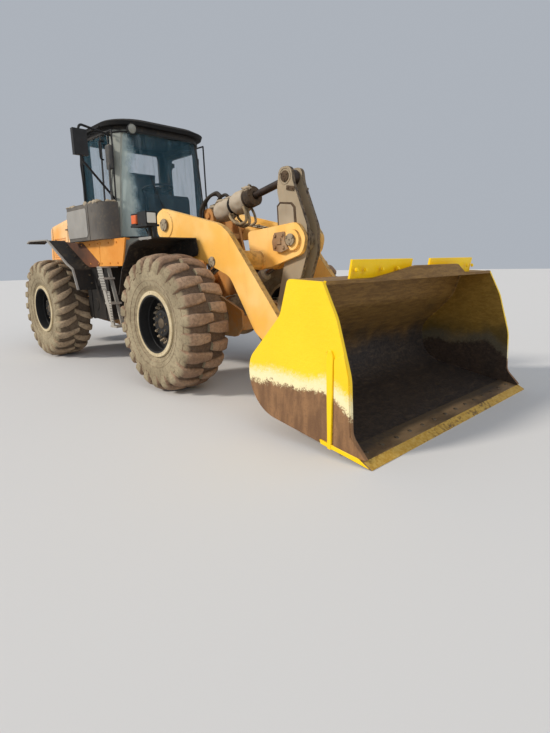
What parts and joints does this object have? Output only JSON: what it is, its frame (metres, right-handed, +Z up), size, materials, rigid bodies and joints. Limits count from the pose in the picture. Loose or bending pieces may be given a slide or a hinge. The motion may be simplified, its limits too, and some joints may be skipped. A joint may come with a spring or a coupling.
{
  "type": "wheel loader",
  "caption": "Articulated wheel loader with enclosed cab, bell-crank lift arms, wide bucket, hinged hood and door, and four free-turning lugged wheels.",
  "frame": {"origin": "on the ground below the middle of the machine's length and width, bucket resting on the ground", "axes": "+X forward towards the bucket, +Y to the operator's left, +Z up"},
  "size_m": [7.8144, 2.736, 3.1853],
  "materials": {
    "loader_yellow": "worn gloss",
    "weight_grey": "dusty satin",
    "cab_dark": "satin",
    "tinted_glass": "clear",
    "tyre_rubber": "dusty",
    "rim_tan": "dusty satin",
    "bare_steel": "worn",
    "rod_chrome": "polished",
    "barrel_paint": "dusty satin",
    "grey_plastic": "matte",
    "dark_plastic": "matte",
    "seat_cloth": "woven",
    "lamp_red": "gloss"
  },
  "bodies": {
    "rear_half": {"rear_frame": "loader_yellow", "rear_axle": "loader_yellow", "counterweight": "weight_grey", "engine": "weight_grey", "cab_shell": "cab_dark", "cab_glass": "tinted_glass", "cab_roof": "cab_dark", "operator_seat": "seat_cloth", "steering_column": "dark_plastic", "console": "grey_plastic", "air_unit": "grey_plastic", "side_platforms": "loader_yellow", "side_tanks": "weight_grey", "rear_fenders": "weight_grey", "steps": "weight_grey", "mirror": "weight_grey", "rear_lamps": "lamp_red"},
    "front_half": {"front_frame": "loader_yellow", "front_axle": "loader_yellow", "front_fenders": "loader_yellow", "headlamps": "dark_plastic"},
    "arms": {"lift_arms": "loader_yellow"},
    "crank": {"bell_crank": "loader_yellow"},
    "link": {"bucket_link": "loader_yellow"},
    "bucket": {"bucket": "loader_yellow", "cutting_edge": "bare_steel", "spill_guard": "bare_steel"},
    "tilt_barrel": {"tilt_barrel": "barrel_paint"},
    "tilt_rod": {"tilt_rod": "rod_chrome"},
    "lift_barrels": {"lift_barrels": "barrel_paint"},
    "lift_rods": {"lift_rods": "rod_chrome"},
    "steering_barrel_left": {"steering_barrel_left": "barrel_paint"},
    "steering_barrel_right": {"steering_barrel_right": "barrel_paint"},
    "steering_rod_left": {"steering_rod_left": "rod_chrome"},
    "steering_rod_right": {"steering_rod_right": "rod_chrome"},
    "hood": {"hood": "loader_yellow", "rear_grille": "weight_grey", "exhaust": "weight_grey"},
    "door": {"cab_door": "cab_dark", "door_glass": "tinted_glass"},
    "wheel_front_left": {"tyre_front_left": "tyre_rubber", "rim_front_left": "rim_tan"},
    "wheel_front_right": {"tyre_front_right": "tyre_rubber", "rim_front_right": "rim_tan"},
    "wheel_rear_left": {"tyre_rear_left": "tyre_rubber", "rim_rear_left": "rim_tan"},
    "wheel_rear_right": {"tyre_rear_right": "tyre_rubber", "rim_rear_right": "rim_tan"}
  },
  "joints": [
    {"name": "steering", "type": "hinge", "parent": "rear_half", "child": "front_half", "pos_m": [-0.58154, 0, 0.78], "axis": [0, 0, 1], "range_deg": [-40, 40]},
    {"name": "arm_lift", "type": "hinge", "parent": "front_half", "child": "arms", "pos_m": [0.44346, 0, 1.81], "axis": [0, -1, 0], "range_deg": [-7, 86]},
    {"name": "bucket_tilt", "type": "hinge", "parent": "arms", "child": "bucket", "pos_m": [2.59346, 0, 0.43], "axis": [0, -1, 0], "range_deg": [-112, 52]},
    {"name": "crank_swing", "type": "hinge", "parent": "arms", "child": "crank", "pos_m": [2.07346, 0, 1.57], "axis": [0, -1, 0], "range_deg": [-16.01, 34.37]},
    {"name": "link_swing", "type": "hinge", "parent": "bucket", "child": "link", "pos_m": [2.60652, 0, 0.70393], "axis": [0, -1, 0], "range_deg": [-41.44, 89.14]},
    {"name": "tilt_barrel_swing", "type": "hinge", "parent": "front_half", "child": "tilt_barrel", "pos_m": [0.58346, 0, 1.93], "axis": [0, -1, 0], "range_deg": [-7.94, 96.42]},
    {"name": "tilt_rod_slide", "type": "slide", "parent": "tilt_barrel", "child": "tilt_rod", "axis": [0.9788, 0, 0.2048], "range_m": [-0.3675, 0.1717]},
    {"name": "lift_barrels_swing", "type": "hinge", "parent": "front_half", "child": "lift_barrels", "pos_m": [0.09346, 0, 0.72], "axis": [0, -1, 0], "range_deg": [-3.18, 37.94]},
    {"name": "lift_rods_slide", "type": "slide", "parent": "lift_barrels", "child": "lift_rods", "axis": [0.8826, 0, 0.4702], "range_m": [-0.0619, 0.7375]},
    {"name": "steering_barrel_left_swing", "type": "hinge", "parent": "rear_half", "child": "steering_barrel_left", "pos_m": [-1.24154, 0.36, 0.78], "axis": [0, 0, 1], "range_deg": [-11.7, 11.7]},
    {"name": "steering_rod_left_slide", "type": "slide", "parent": "steering_barrel_left", "child": "steering_rod_left", "axis": [1, 0, 0], "range_m": [-0.2463, 0.2463]},
    {"name": "steering_barrel_right_swing", "type": "hinge", "parent": "rear_half", "child": "steering_barrel_right", "pos_m": [-1.24154, -0.36, 0.78], "axis": [0, 0, 1], "range_deg": [-11.7, 11.7]},
    {"name": "steering_rod_right_slide", "type": "slide", "parent": "steering_barrel_right", "child": "steering_rod_right", "axis": [1, 0, 0], "range_m": [-0.2463, 0.2463]},
    {"name": "door_swing", "type": "hinge", "parent": "rear_half", "child": "door", "pos_m": [-1.45654, 0.76, 2.23], "axis": [0, 0, 1], "range_deg": [0, 85]},
    {"name": "hood_lift", "type": "hinge", "parent": "rear_half", "child": "hood", "pos_m": [-1.75154, 0, 2.18], "axis": [0, 1, 0], "range_deg": [0, 50]},
    {"name": "front_left_wheel_spin", "type": "hinge", "parent": "front_half", "child": "wheel_front_left", "pos_m": [1.04346, 1, 0.735], "axis": [0, 1, 0], "continuous": true},
    {"name": "front_right_wheel_spin", "type": "hinge", "parent": "front_half", "child": "wheel_front_right", "pos_m": [1.04346, -1, 0.735], "axis": [0, 1, 0], "continuous": true},
    {"name": "rear_left_wheel_spin", "type": "hinge", "parent": "rear_half", "child": "wheel_rear_left", "pos_m": [-2.20654, 1, 0.735], "axis": [0, 1, 0], "continuous": true},
    {"name": "rear_right_wheel_spin", "type": "hinge", "parent": "rear_half", "child": "wheel_rear_right", "pos_m": [-2.20654, -1, 0.735], "axis": [0, 1, 0], "continuous": true}
  ],
  "couplings": [
    {"joint": "crank_swing", "follows": "bucket_tilt", "ratio": -0.306},
    {"joint": "link_swing", "follows": "bucket_tilt", "ratio": -0.795},
    {"joint": "tilt_barrel_swing", "follows": "arm_lift", "ratio": 1.12},
    {"joint": "tilt_rod_slide", "follows": "bucket_tilt", "m_per_rad": 0.187},
    {"joint": "lift_barrels_swing", "follows": "arm_lift", "ratio": 0.44},
    {"joint": "lift_rods_slide", "follows": "arm_lift", "m_per_rad": 0.49},
    {"joint": "steering_barrel_left_swing", "follows": "steering", "ratio": 0.29},
    {"joint": "steering_barrel_right_swing", "follows": "steering", "ratio": 0.29},
    {"joint": "steering_rod_left_slide", "follows": "steering", "m_per_rad": -0.35},
    {"joint": "steering_rod_right_slide", "follows": "steering", "m_per_rad": 0.35}
  ]
}
